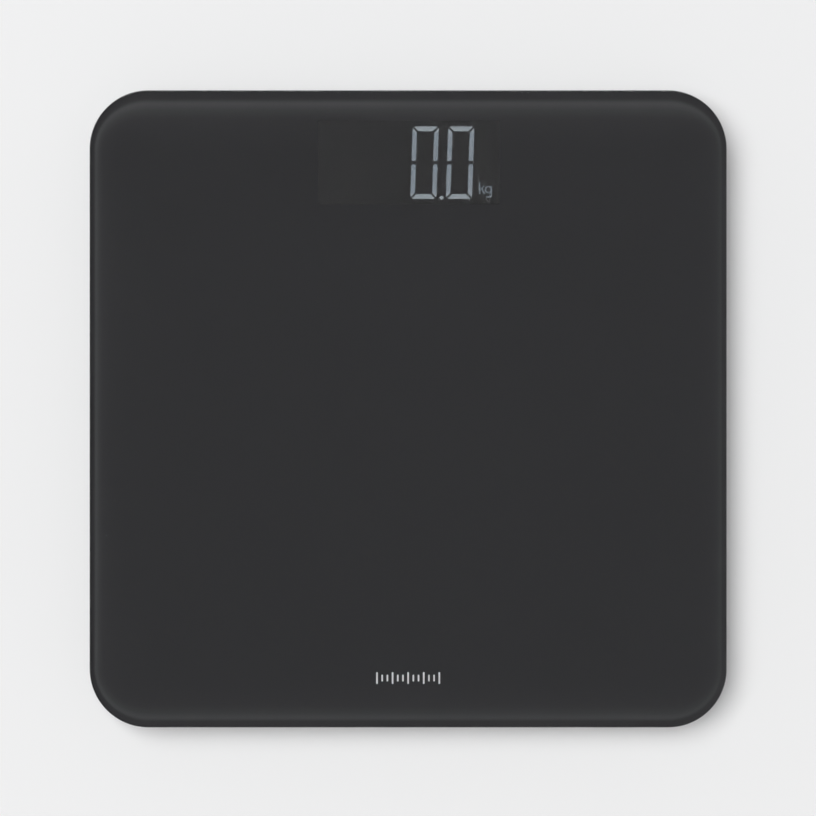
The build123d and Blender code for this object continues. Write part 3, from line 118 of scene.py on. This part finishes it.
class Finish:
    """A material with one Principled shader, and short calls for the nodes round it."""

    def __init__(self, name, colour, roughness, metal=0.0):
        self.material = bpy.data.materials.new(name)
        self.material.use_nodes = True
        self.tree = self.material.node_tree
        self.tree.nodes.clear()
        self.out = self.add("ShaderNodeOutputMaterial")
        self.shader = self.add("ShaderNodeBsdfPrincipled")
        self.join(self.shader, "BSDF", self.out, "Surface")
        self.set(self.shader, "Base Color", (*colour, 1.0))
        self.set(self.shader, "Roughness", roughness)
        self.set(self.shader, "Metallic", metal)
        self.where = self.add("ShaderNodeTexCoord")

    def add(self, kind, **settings):
        node = self.tree.nodes.new(kind)
        for key, value in settings.items():
            setattr(node, key, value)
        return node

    def set(self, node, socket, value):
        node.inputs[socket].default_value = value

    def join(self, source, output, target, socket):
        self.tree.links.new(source.outputs[output], target.inputs[socket])

    def stretched(self, stretch):
        """Object coordinates scaled by stretch, so a pattern is drawn out along an axis."""
        mapping = self.add("ShaderNodeMapping")
        self.set(mapping, "Scale", stretch)
        self.join(self.where, "Object", mapping, "Vector")
        return mapping

    def noise(self, scale, detail=3.0, rough=0.5, source=None):
        node = self.add("ShaderNodeTexNoise")
        self.set(node, "Scale", scale)
        self.set(node, "Detail", detail)
        self.set(node, "Roughness", rough)
        if source is None:
            self.join(self.where, "Object", node, "Vector")
        else:
            self.join(source, "Vector", node, "Vector")
        return node

    def cells(self, scale):
        node = self.add("ShaderNodeTexVoronoi")
        self.set(node, "Scale", scale)
        self.join(self.where, "Object", node, "Vector")
        return node

    def span(self, source, output, low, high, to_low, to_high):
        node = self.add("ShaderNodeMapRange")
        self.set(node, "From Min", low)
        self.set(node, "From Max", high)
        self.set(node, "To Min", to_low)
        self.set(node, "To Max", to_high)
        self.join(source, output, node, "Value")
        return node

    def blend(self, mask, mask_output, first, second):
        """Mixes two colours, or the output of an earlier blend and a colour, by a mask."""
        node = self.add("ShaderNodeMix", data_type="RGBA")
        self.join(mask, mask_output, node, "Factor")
        if isinstance(first, tuple):
            node.inputs[6].default_value = (*first, 1.0)
        else:
            self.tree.links.new(first.outputs[2], node.inputs[6])
        node.inputs[7].default_value = (*second, 1.0)
        return node

    def colour_from(self, mix):
        self.tree.links.new(mix.outputs[2], self.shader.inputs["Base Color"])

    def bump(self, source, output, depth, strength=0.6):
        node = self.add("ShaderNodeBump")
        self.set(node, "Strength", strength)
        self.set(node, "Distance", depth)
        self.join(source, output, node, "Height")
        self.join(node, "Normal", self.shader, "Normal")

    def axes(self):
        """The object coordinates as separate X, Y and Z outputs."""
        node = self.add("ShaderNodeSeparateXYZ")
        self.join(self.where, "Object", node, "Vector")
        return node

    def calc(self, operation, first, second=0.0):
        """One Math node; each side is a number or an output socket."""
        node = self.add("ShaderNodeMath", operation=operation)
        for index, value in enumerate((first, second)):
            if isinstance(value, (int, float)):
                node.inputs[index].default_value = value
            else:
                self.tree.links.new(value, node.inputs[index])
        return node.outputs["Value"]

    def worn_edges(self, reach, low=0.02, high=0.22):
        """A mask that is 1 on sharp outer edges, from how far a rounded normal leaves the true one."""
        rounded = self.add("ShaderNodeBevel", samples=4)
        self.set(rounded, "Radius", reach)
        true = self.add("ShaderNodeNewGeometry")
        dot = self.add("ShaderNodeVectorMath", operation="DOT_PRODUCT")
        self.join(rounded, "Normal", dot, 0)
        self.join(true, "Normal", dot, 1)
        away = self.add("ShaderNodeMath", operation="SUBTRACT")
        away.inputs[0].default_value = 1.0
        self.tree.links.new(dot.outputs["Value"], away.inputs[1])
        return self.span(away, "Value", low, high, 0.0, 1.0)


def moulded(name, colour, second, roughness=(0.45, 0.6), grain=3500.0, depth=0.02, mottle=60.0,
            worn=None, reach=0.5, metal=0.0):
    """Moulded plastic or rubber: cloudy colour, fine spark texture, and rubbed edges."""
    made = Finish(name, colour, roughness[0], metal)
    cloud = made.noise(mottle, 4.0, 0.6)
    patch = made.span(cloud, "Fac", 0.35, 0.65, 0.0, 1.0)
    mix = made.blend(patch, "Result", colour, second)
    if worn is not None:
        edge = made.worn_edges(reach * MM)
        mix = made.blend(edge, "Result", mix, worn)
    made.colour_from(mix)
    fine = made.noise(grain, 2.0, 0.6)
    shine = made.span(fine, "Fac", 0.3, 0.7, roughness[0], roughness[1])
    made.join(shine, "Result", made.shader, "Roughness")
    made.bump(fine, "Fac", depth * MM)
    return made


def metal(name, colour, second, roughness=(0.25, 0.4), along=(1, 1, 1), grain=2500.0, depth=0.004):
    """Plated or rolled metal: fine drawn lines along one way and a slight tarnish."""
    made = Finish(name, colour, roughness[0], 1.0)
    drawn = made.stretched(along)
    lines = made.noise(grain, 3.0, 0.6, drawn)
    tarnish = made.noise(180.0, 4.0, 0.65)
    patch = made.span(tarnish, "Fac", 0.4, 0.7, 0.0, 1.0)
    made.colour_from(made.blend(patch, "Result", colour, second))
    shine = made.span(lines, "Fac", 0.3, 0.7, roughness[0], roughness[1])
    made.join(shine, "Result", made.shader, "Roughness")
    made.bump(lines, "Fac", depth * MM, 0.4)
    return made


def insulation(name, colour, second):
    """Soft PVC wire skin with a waxy sheen."""
    made = moulded(name, colour, second, (0.32, 0.45), 2600.0, 0.008, 220.0)
    made.set(made.shader, "Coat Weight", 0.15)
    return made


def tempered_glass():
    """Clear float glass with the faintest green cast and a few finger smears too thin to see head-on."""
    made = Finish("tempered_glass", (0.985, 0.995, 0.992), 0.0)
    smear = made.noise(14.0, 4.0, 0.6)
    film = made.span(smear, "Fac", 0.55, 0.8, 0.0, 0.035)
    made.join(film, "Result", made.shader, "Roughness")
    made.set(made.shader, "Transmission Weight", 1.0)
    made.set(made.shader, "IOR", 1.52)
    return made


def black_print():
    """Ceramic ink fired onto the glass: near black, with a band of painted light just inside the ground edge.
    """
    made = Finish("black_print", (0.0385, 0.0385, 0.041), 0.5)
    screen = made.noise(900.0, 4.0, 0.7)
    patch = made.span(screen, "Fac", 0.3, 0.7, 0.0, 1.0)
    ink = made.blend(patch, "Result", INK_DARK, INK_LIGHT)

    axes = made.axes()
    x, y = axes.outputs["X"], axes.outputs["Y"]
    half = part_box("glass_platform")[1].x
    past_x = made.calc("MAXIMUM", made.calc("SUBTRACT", made.calc("ABSOLUTE", x), half - CORNER_RADIUS), 0.0)
    past_y = made.calc("MAXIMUM", made.calc("SUBTRACT", made.calc("ABSOLUTE", y), half - CORNER_RADIUS), 0.0)
    square_x = made.calc("POWER", past_x, 2.0)
    square_y = made.calc("POWER", past_y, 2.0)
    square = made.calc("MAXIMUM", made.calc("ADD", square_x, square_y), 1e-12)
    inset = made.calc("SUBTRACT", CORNER_RADIUS, made.calc("SQRT", square))
    end_share = made.calc("DIVIDE", square_y, square)
    rear = made.calc("GREATER_THAN", y, 0.0)
    right = made.calc("GREATER_THAN", x, 0.0)

    def by_edge(rear_value, front_value, left_value, right_value):
        ends = made.calc("ADD", made.calc("MULTIPLY", rear, rear_value - front_value), front_value)
        sides = made.calc("ADD", made.calc("MULTIPLY", right, right_value - left_value), left_value)
        step = made.calc("SUBTRACT", ends, sides)
        return made.calc("ADD", sides, made.calc("MULTIPLY", step, end_share))

    # Painted light: the ink is brightened in a band just inside each edge, standing in for light entering
    # through the glass edge; reach and strength are set per edge
    reach = made.calc("DIVIDE", inset, by_edge(*PAINTED_GLOW_REACH))
    ramp = made.add("ShaderNodeValToRGB")
    ramp.color_ramp.interpolation = "CARDINAL"
    made.tree.links.new(made.calc("DIVIDE", reach, PAINTED_GLOW_STOPS[-1][0]), ramp.inputs["Fac"])
    stops = ramp.color_ramp.elements
    while len(stops) < len(PAINTED_GLOW_STOPS):
        stops.new(0.5)
    for stop, (place, value) in zip(stops, PAINTED_GLOW_STOPS):
        stop.position = place / PAINTED_GLOW_STOPS[-1][0]
        stop.color = (value, value, value, 1.0)
    painted_glow = made.calc("MULTIPLY", ramp.outputs["Color"], by_edge(*PAINTED_GLOW_DEPTH))

    lifted = made.add("ShaderNodeMix", data_type="RGBA", blend_type="ADD")
    lifted.inputs[0].default_value = 1.0
    made.tree.links.new(ink.outputs[2], lifted.inputs[6])
    made.tree.links.new(painted_glow, lifted.inputs[7])
    made.colour_from(lifted)
    made.bump(screen, "Fac", 0.004 * MM, 0.3)
    made.set(made.shader, "Specular IOR Level", 0.0)
    return made


def tinted_film():
    """Smoked film behind the window: almost black, and clear enough for a lit bar to show."""
    made = Finish("tinted_film", FILM_DARK, 0.4)
    cloud = made.noise(60.0, 3.0, 0.5)
    patch = made.span(cloud, "Fac", 0.35, 0.65, 0.0, 1.0)
    made.colour_from(made.blend(patch, "Result", FILM_DARK, FILM_LIGHT))
    made.set(made.shader, "Specular IOR Level", 0.0)
    made.set(made.shader, "Alpha", FILM_COVER)
    return made


def silver_print():
    made = Finish("silver_print", (0.8, 0.81, 0.82), 0.42, 0.2)
    flake = made.cells(9000.0)
    sparkle = made.span(flake, "Color", 0.0, 1.0, 0.0, 1.0)
    made.colour_from(made.blend(sparkle, "Result", (0.72, 0.73, 0.74), (0.9, 0.9, 0.91)))
    made.bump(flake, "Distance", 0.004 * MM, 0.4)
    return made


def foam_tape():
    made = Finish("foam_tape", (0.05, 0.05, 0.05), 0.9)
    bubbles = made.cells(6500.0)
    pit = made.span(bubbles, "Distance", 0.1, 0.7, 0.0, 1.0)
    made.colour_from(made.blend(pit, "Result", (0.03, 0.03, 0.03), (0.075, 0.075, 0.078)))
    made.bump(bubbles, "Distance", 0.05 * MM)
    return made


def board_laminate():
    """Green solder mask over copper tracks and a glass weave."""
    made = Finish("board_laminate", (0.01, 0.09, 0.035), 0.35)
    weave = made.add("ShaderNodeTexBrick")
    made.set(weave, "Scale", 1100.0)
    made.set(weave, "Mortar Size", 0.06)
    made.set(weave, "Color1", (0.0, 0.0, 0.0, 1.0))
    made.set(weave, "Color2", (0.25, 0.25, 0.25, 1.0))
    made.set(weave, "Mortar", (1.0, 1.0, 1.0, 1.0))
    made.join(made.where, "Object", weave, "Vector")
    tracks = made.add("ShaderNodeTexBrick")
    made.set(tracks, "Scale", 120.0)
    made.set(tracks, "Mortar Size", 0.035)
    made.set(tracks, "Brick Width", 1.1)
    made.set(tracks, "Row Height", 0.22)
    made.set(tracks, "Color1", (0.0, 0.0, 0.0, 1.0))
    made.set(tracks, "Color2", (0.0, 0.0, 0.0, 1.0))
    made.set(tracks, "Mortar", (1.0, 1.0, 1.0, 1.0))
    made.join(made.where, "Object", tracks, "Vector")
    cloth = made.blend(weave, "Color", (0.008, 0.075, 0.03), (0.012, 0.1, 0.04))
    made.colour_from(made.blend(tracks, "Color", cloth, (0.03, 0.19, 0.07)))
    made.bump(tracks, "Color", 0.03 * MM, 0.5)
    return made


def gauge_film():
    """Amber film with a fine metal grid."""
    made = Finish("gauge_film", (0.62, 0.27, 0.05), 0.3)
    grid = made.add("ShaderNodeTexWave", wave_type="BANDS", bands_direction="Y")
    made.set(grid, "Scale", 900.0)
    made.set(grid, "Distortion", 0.4)
    made.join(made.where, "Object", grid, "Vector")
    line = made.span(grid, "Fac", 0.55, 0.75, 0.0, 1.0)
    made.colour_from(made.blend(line, "Result", (0.62, 0.27, 0.05), (0.42, 0.33, 0.2)))
    made.bump(grid, "Fac", 0.01 * MM, 0.4)
    return made


def battery_sleeve(node, flipped):
    """Printed foil sleeve: a dark body, a coppery band at the plus end, bare metal ends."""
    low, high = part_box(node)
    length = high.x - low.x
    made = Finish(node + "_sleeve", SLEEVE_DARK, 0.28)
    start, end = (high.x, low.x) if flipped else (low.x, high.x)
    along = made.span(made.axes(), "X", start, end, 0.0, length)
    copper = made.span(along, "Result", *COPPER_EDGE, 0.0, 1.0)
    bare = made.span(along, "Result", *PLUS_END, 0.0, 1.0)
    foot = made.span(along, "Result", *MINUS_END, 0.0, 1.0)
    scuff = made.noise(420.0, 4.0, 0.7)
    rub = made.span(scuff, "Fac", 0.62, 0.7, 0.0, 0.35)
    mix = made.blend(copper, "Result", SLEEVE_DARK, (0.42, 0.19, 0.07))
    mix = made.blend(rub, "Result", mix, (0.2, 0.2, 0.21))
    mix = made.blend(bare, "Result", mix, BARE_METAL)
    mix = made.blend(foot, "Result", mix, BARE_METAL)
    made.colour_from(mix)
    made.bump(scuff, "Fac", 0.01 * MM, 0.3)
    made.set(made.shader, "Metallic", 0.5)
    return made


def lit_diffuser():
    """Milky plastic lit from below: bluish uprights, and brighter, greener level bars."""
    made = Finish("lit_diffuser", (0.5, 0.53, 0.56), 0.6)
    cloud = made.noise(160.0, 3.0, 0.5)
    warm = made.span(cloud, "Fac", 0.35, 0.65, 0.0, 1.0)
    axes = made.axes()
    low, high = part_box("lit_bars")
    away = made.calc("ABSOLUTE", made.calc("SUBTRACT", axes.outputs["Y"], (low.y + high.y) / 2))
    level = made.calc("GREATER_THAN", away, CAP_START)
    beside = made.calc("GREATER_THAN", axes.outputs["X"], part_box("unit_symbol")[0].x)
    glow = made.blend(warm, "Result", UPRIGHT_GLOW, UPRIGHT_GLOW_WARM)
    glow = made.blend(level.node, "Value", glow, LEVEL_GLOW)
    glow = made.blend(beside.node, "Value", glow, SYMBOL_GLOW)
    made.tree.links.new(glow.outputs[2], made.shader.inputs["Emission Color"])
    made.set(made.shader, "Emission Strength", GLOW_STRENGTH)
    return made


def pale_floor():
    made = Finish("pale_floor", (0.8, 0.8, 0.8), 0.9)
    cloud = made.noise(1.5, 2.0, 0.5)
    patch = made.span(cloud, "Fac", 0.3, 0.7, 0.0, 1.0)
    made.colour_from(made.blend(patch, "Result", (0.797, 0.799, 0.801), (0.803, 0.803, 0.803)))
    made.set(made.shader, "Specular IOR Level", 0.2)
    return made


FINISHES = {
    "tempered_glass": tempered_glass(),
    "black_print": black_print(),
    "tinted_film": tinted_film(),
    "silver_print": silver_print(),
    "foam_tape": foam_tape(),
    "board_laminate": board_laminate(),
    "gauge_film": gauge_film(),
    "lit_diffuser": lit_diffuser(),
    "tray_plastic": moulded("tray_plastic", (0.016, 0.016, 0.017), (0.023, 0.023, 0.025), (0.42, 0.58),
                            3800.0, 0.03, 45.0, (0.075, 0.075, 0.078), 0.35),
    "door_plastic": moulded("door_plastic", (0.017, 0.017, 0.018), (0.024, 0.024, 0.026), (0.42, 0.58),
                            3800.0, 0.03, 60.0, (0.08, 0.08, 0.083), 0.35),
    "shoe_plastic": moulded("shoe_plastic", (0.02, 0.02, 0.021), (0.028, 0.028, 0.03), (0.4, 0.55),
                            4200.0, 0.02, 90.0, (0.08, 0.08, 0.083), 0.4),
    "pad_rubber": moulded("pad_rubber", (0.03, 0.03, 0.031), (0.046, 0.045, 0.044), (0.7, 0.88),
                          5200.0, 0.03, 120.0, (0.1, 0.099, 0.096), 0.5),
    "button_plastic": moulded("button_plastic", (0.3, 0.31, 0.32), (0.36, 0.37, 0.38), (0.35, 0.5),
                              4200.0, 0.015, 150.0, (0.5, 0.5, 0.5), 0.25),
    "holder_plastic": moulded("holder_plastic", (0.62, 0.6, 0.53), (0.69, 0.67, 0.6), (0.4, 0.55),
                              3600.0, 0.015, 80.0),
    "plunger_plastic": moulded("plunger_plastic", (0.7, 0.7, 0.68), (0.78, 0.78, 0.75), (0.35, 0.5),
                               4200.0, 0.01, 200.0),
    "socket_plastic": moulded("socket_plastic", (0.66, 0.63, 0.54), (0.74, 0.71, 0.62), (0.38, 0.5),
                              4200.0, 0.01, 180.0),
    "housing_plastic": moulded("housing_plastic", (0.012, 0.012, 0.013), (0.018, 0.018, 0.02), (0.5, 0.65),
                               4000.0, 0.02, 90.0),
    "unlit_diffuser": moulded("unlit_diffuser", (0.014, 0.0145, 0.016), (0.018, 0.0185, 0.02), (0.45, 0.6),
                              3000.0, 0.01, 140.0),
    "chip_epoxy": moulded("chip_epoxy", (0.015, 0.015, 0.016), (0.024, 0.024, 0.025), (0.5, 0.7),
                          6000.0, 0.02, 260.0),
    "capacitor_can": moulded("capacitor_can", (0.03, 0.04, 0.09), (0.045, 0.06, 0.12), (0.25, 0.4),
                             3000.0, 0.01, 200.0),
    "chip_ceramic": moulded("chip_ceramic", (0.34, 0.23, 0.14), (0.42, 0.3, 0.19), (0.4, 0.55),
                            5000.0, 0.01, 400.0),
    "led_resin": moulded("led_resin", (0.75, 0.66, 0.25), (0.82, 0.74, 0.35), (0.15, 0.25),
                         3000.0, 0.005, 400.0),
    "red_insulation": insulation("red_insulation", (0.5, 0.02, 0.02), (0.58, 0.035, 0.03)),
    "white_insulation": insulation("white_insulation", (0.72, 0.72, 0.7), (0.8, 0.8, 0.78)),
    "black_insulation": insulation("black_insulation", (0.015, 0.015, 0.016), (0.025, 0.025, 0.027)),
    "screw_steel": metal("screw_steel", (0.56, 0.56, 0.57), (0.42, 0.42, 0.44)),
    "tinned_metal": metal("tinned_metal", (0.7, 0.7, 0.69), (0.55, 0.55, 0.55), (0.2, 0.35)),
    "switch_metal": metal("switch_metal", (0.66, 0.65, 0.62), (0.5, 0.5, 0.49), (0.25, 0.4), (1, 0.08, 1)),
    "nickel_strip": metal("nickel_strip", (0.66, 0.63, 0.57), (0.52, 0.49, 0.44), (0.18, 0.32), (1, 0.08, 1)),
    "cell_steel": metal("cell_steel", (0.5, 0.5, 0.51), (0.36, 0.36, 0.37), (0.28, 0.45), (0.06, 1, 1)),
}

for name, node in nodes.items():
    for slot in node.material_slots:
        if slot.material is None:
            continue
        wanted = slot.material.name.split(".")[0]
        if wanted == "battery_sleeve":
            slot.material = battery_sleeve(name, name == "battery_2").material
        else:
            slot.material = FINISHES[wanted].material


# ---------------------------------------------------------------- pieces made here

def keep(piece, body, slot, *replaced):
    """Puts a finished piece on its body, with its finish and the CAD nodes it stands for."""
    if not piece.data.materials:
        piece.data.materials.append(FINISHES[slot].material)
    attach(piece, body)
    if replaced:
        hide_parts(*replaced)


def linked(name, mesh):
    piece = bpy.data.objects.new(name, mesh)
    bpy.context.scene.collection.objects.link(piece)
    return piece


def built(name, shape):
    """The piece made from a finished bmesh, with its normals turned outward."""
    bmesh.ops.recalc_face_normals(shape, faces=shape.faces)
    mesh = bpy.data.meshes.new(name)
    shape.to_mesh(mesh)
    shape.free()
    return linked(name, mesh)


def rounded_ring(half, radius, inset, height):
    """Points round a square with rounded corners, moved in from its outline by inset."""
    centre = half - radius
    reach = radius - inset
    ring = []
    for quarter in range(4):
        turn = quarter * math.pi / 2
        side_x = math.copysign(centre, math.cos(turn + math.pi / 4))
        side_y = math.copysign(centre, math.sin(turn + math.pi / 4))
        for step in range(CORNER_STEPS + 1):
            angle = turn + step * math.pi / 2 / CORNER_STEPS
            ring.append((side_x + reach * math.cos(angle), side_y + reach * math.sin(angle), height))
    return ring


def glass_slab():
    low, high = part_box("glass_platform")
    half = high.x
    bottom = low.z - INK_BITE
    levels = [(TOP_ROUND + FACE_MARGIN, high.z)]
    for step in range(ROUND_STEPS + 1):
        angle = step * math.pi / 2 / ROUND_STEPS
        levels.append((TOP_ROUND * (1 - math.sin(angle)), high.z - TOP_ROUND * (1 - math.cos(angle))))
    for step in range(ROUND_STEPS + 1):
        angle = step * math.pi / 2 / ROUND_STEPS
        levels.append((BOTTOM_ROUND * (1 - math.cos(angle)), bottom + BOTTOM_ROUND * (1 - math.sin(angle))))
    levels.append((BOTTOM_ROUND + FACE_MARGIN, bottom))
    shape = bmesh.new()
    rings = [[shape.verts.new(p) for p in rounded_ring(half, CORNER_RADIUS, inset, z)] for inset, z in levels]
    count = len(rings[0])
    for upper, lower in zip(rings, rings[1:]):
        for i in range(count):
            j = (i + 1) % count
            face = shape.faces.new((upper[i], lower[i], lower[j], upper[j]))
            face.smooth = True
    shape.faces.new(rings[0])
    shape.faces.new(list(reversed(rings[-1])))
    keep(built("platform_slab", shape), "scale", "tempered_glass", "glass_platform")


def display_bars():
    """The bars that are lit, drawn in from the walls of their light wells."""
    shape = bmesh.new()
    shape.from_mesh(nodes["lit_bars"].data)
    bmesh.ops.remove_doubles(shape, verts=shape.verts, dist=MERGE_REACH)
    bmesh.ops.dissolve_limit(shape, angle_limit=FLAT_ANGLE, verts=shape.verts, edges=shape.edges)
    tops = [face for face in shape.faces if face.normal.z > FACING_UP]
    wide = [face for face in tops if face.calc_area() > BAR_AREA]
    bmesh.ops.inset_individual(shape, faces=wide, thickness=BAR_CLEAR, use_even_offset=True)
    kept = set(tops)
    others = [face for face in shape.faces if face not in kept]
    bmesh.ops.delete(shape, geom=others, context="FACES")
    raised = bmesh.ops.extrude_face_region(shape, geom=shape.faces[:])
    lower = [item for item in raised["geom"] if isinstance(item, bmesh.types.BMVert)]
    bmesh.ops.translate(shape, verts=lower, vec=(0, 0, -BAR_DEPTH))
    keep(built("display_bars", shape), "scale", "lit_diffuser", "lit_bars")


def tick_tree():
    """Node tree that lays a row of rounded ticks along X, long ones at a regular step."""
    tree = bpy.data.node_groups.new("tick_row", "GeometryNodeTree")
    face = tree.interface
    face.new_socket("Geometry", in_out="INPUT", socket_type="NodeSocketGeometry")
    face.new_socket("Count", in_out="INPUT", socket_type="NodeSocketInt")
    face.new_socket("Long Every", in_out="INPUT", socket_type="NodeSocketInt")
    for name in ("Start", "Step"):
        face.new_socket(name, in_out="INPUT", socket_type="NodeSocketVector")
    for name in ("Width", "Long", "Short", "Thickness"):
        face.new_socket(name, in_out="INPUT", socket_type="NodeSocketFloat")
    face.new_socket("Material", in_out="INPUT", socket_type="NodeSocketMaterial")
    face.new_socket("Geometry", in_out="OUTPUT", socket_type="NodeSocketGeometry")
    add = tree.nodes.new
    join = tree.links.new
    given = add("NodeGroupInput").outputs
    row = add("GeometryNodeMeshLine")
    join(given["Count"], row.inputs["Count"])
    join(given["Start"], row.inputs["Start Location"])
    join(given["Step"], row.inputs["Offset"])
    index = add("GeometryNodeInputIndex")
    beat = add("FunctionNodeIntegerMath")
    beat.operation = "MODULO"
    join(index.outputs[0], beat.inputs[0])
    join(given["Long Every"], beat.inputs[1])
    radius = add("ShaderNodeMath")
    radius.operation = "MULTIPLY"
    radius.inputs[1].default_value = 0.5
    join(given["Width"], radius.inputs[0])
    every = add("GeometryNodeJoinGeometry")
    for length, wanted in (("Long", "EQUAL"), ("Short", "NOT_EQUAL")):
        disc = add("GeometryNodeMeshCylinder")
        disc.inputs["Vertices"].default_value = TICK_SIDES
        join(radius.outputs[0], disc.inputs["Radius"])
        join(given["Thickness"], disc.inputs["Depth"])
        reach = add("ShaderNodeMath")
        reach.operation = "SUBTRACT"
        join(given[length], reach.inputs[0])
        join(given["Width"], reach.inputs[1])
        ends = add("GeometryNodeJoinGeometry")
        for share in (-0.5, 0.5):
            along = add("ShaderNodeMath")
            along.operation = "MULTIPLY"
            along.inputs[1].default_value = share
            join(reach.outputs[0], along.inputs[0])
            spot = add("ShaderNodeCombineXYZ")
            join(along.outputs[0], spot.inputs["Y"])
            moved = add("GeometryNodeTransform")
            join(disc.outputs["Mesh"], moved.inputs["Geometry"])
            join(spot.outputs[0], moved.inputs["Translation"])
            join(moved.outputs[0], ends.inputs[0])
        hull = add("GeometryNodeConvexHull")
        join(ends.outputs[0], hull.inputs[0])
        chosen = add("FunctionNodeCompare")
        chosen.data_type = "INT"
        chosen.operation = wanted
        join(beat.outputs[0], chosen.inputs["A"])
        laid = add("GeometryNodeInstanceOnPoints")
        join(row.outputs["Mesh"], laid.inputs["Points"])
        join(chosen.outputs[0], laid.inputs["Selection"])
        join(hull.outputs[0], laid.inputs["Instance"])
        join(laid.outputs[0], every.inputs[0])
    real = add("GeometryNodeRealizeInstances")
    join(every.outputs[0], real.inputs[0])
    coat = add("GeometryNodeSetMaterial")
    join(real.outputs[0], coat.inputs["Geometry"])
    join(given["Material"], coat.inputs["Material"])
    out = add("NodeGroupOutput")
    join(coat.outputs[0], out.inputs[0])
    return tree


def ruler_ticks():
    low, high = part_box("printed_mark")
    start = Vector((low.x + TICK_WIDTH / 2, (low.y + high.y) / 2, (low.z + high.z) / 2))
    step = Vector(((high.x - low.x - TICK_WIDTH) / (TICK_COUNT - 1), 0.0, 0.0))
    finish = FINISHES["silver_print"].material
    values = {"Count": TICK_COUNT, "Long Every": TICK_LONG_EVERY, "Start": start, "Step": step,
              "Width": TICK_WIDTH, "Long": high.y - low.y, "Short": TICK_SHORT,
              "Thickness": high.z - low.z, "Material": finish}
    seed = linked("tick_seed", bpy.data.meshes.new("tick_seed"))
    tree = tick_tree()
    modifier = seed.modifiers.new("ticks", "NODES")
    modifier.node_group = tree
    for socket in tree.interface.items_tree:
        if socket.in_out == "INPUT" and socket.name in values:
            modifier[socket.identifier] = values[socket.name]
    graph = bpy.context.evaluated_depsgraph_get()
    mesh = bpy.data.meshes.new_from_object(seed.evaluated_get(graph))
    bpy.data.objects.remove(seed)
    mesh.name = "ruler_ticks"
    keep(linked("ruler_ticks", mesh), "scale", "silver_print", "printed_mark")


glass_slab()
display_bars()
ruler_ticks()


# ---------------------------------------------------------------- studio

def area(name, place, aim, size, power, glossy=True, diffuse=True):
    lamp = bpy.data.lights.new(name, "AREA")
    lamp.shape = "RECTANGLE"
    lamp.size = size[0]
    lamp.size_y = size[1]
    lamp.energy = power
    shown = bpy.data.objects.new(name, lamp)
    shown.location = place
    shown.rotation_euler = (Vector(aim) - Vector(place)).to_track_quat("-Z", "Y").to_euler()
    shown.visible_glossy = glossy
    shown.visible_diffuse = diffuse
    bpy.context.scene.collection.objects.link(shown)


def studio():
    scene = bpy.context.scene
    camera = bpy.data.objects.new("camera", bpy.data.cameras.new("camera"))
    camera.data.lens = LENS
    camera.data.sensor_width = SENSOR
    camera.location = (CAMERA_X, CAMERA_Y, CAMERA_HEIGHT)
    scene.collection.objects.link(camera)
    scene.camera = camera
    scene.view_settings.view_transform = "Standard"

    mesh = bpy.data.meshes.new("floor")
    corners = [(-FLOOR_HALF, -FLOOR_HALF, 0), (FLOOR_HALF, -FLOOR_HALF, 0),
               (FLOOR_HALF, FLOOR_HALF, 0), (-FLOOR_HALF, FLOOR_HALF, 0)]
    mesh.from_pydata(corners, [], [(0, 1, 2, 3)])
    floor = bpy.data.objects.new("floor", mesh)
    floor.data.materials.append(pale_floor().material)
    scene.collection.objects.link(floor)

    area("softbox", SOFTBOX_PLACE, SOFTBOX_AIM, SOFTBOX_SIZE, SOFTBOX_POWER, glossy=False)
    area("rim_strip", STRIP_PLACE, STRIP_AIM, STRIP_SIZE, STRIP_POWER, diffuse=False)

    world = bpy.data.worlds.new("sky")
    scene.world = world
    world.use_nodes = True
    tree = world.node_tree
    back = tree.nodes["Background"]
    where = tree.nodes.new("ShaderNodeTexCoord")
    split = tree.nodes.new("ShaderNodeSeparateXYZ")
    ramp = tree.nodes.new("ShaderNodeValToRGB")
    tree.links.new(where.outputs["Generated"], split.inputs[0])
    tree.links.new(split.outputs["Z"], ramp.inputs[0])
    tree.links.new(ramp.outputs[0], back.inputs["Color"])
    stops = ramp.color_ramp.elements
    stops[0].position = 0.0
    stops[0].color = SKY_LOW
    stops[1].position = 1.0
    stops[1].color = SKY_TOP
    for position, value in SKY_STOPS:
        stop = stops.new(position)
        stop.color = (value, value, value * SKY_BLUE, 1)


studio()
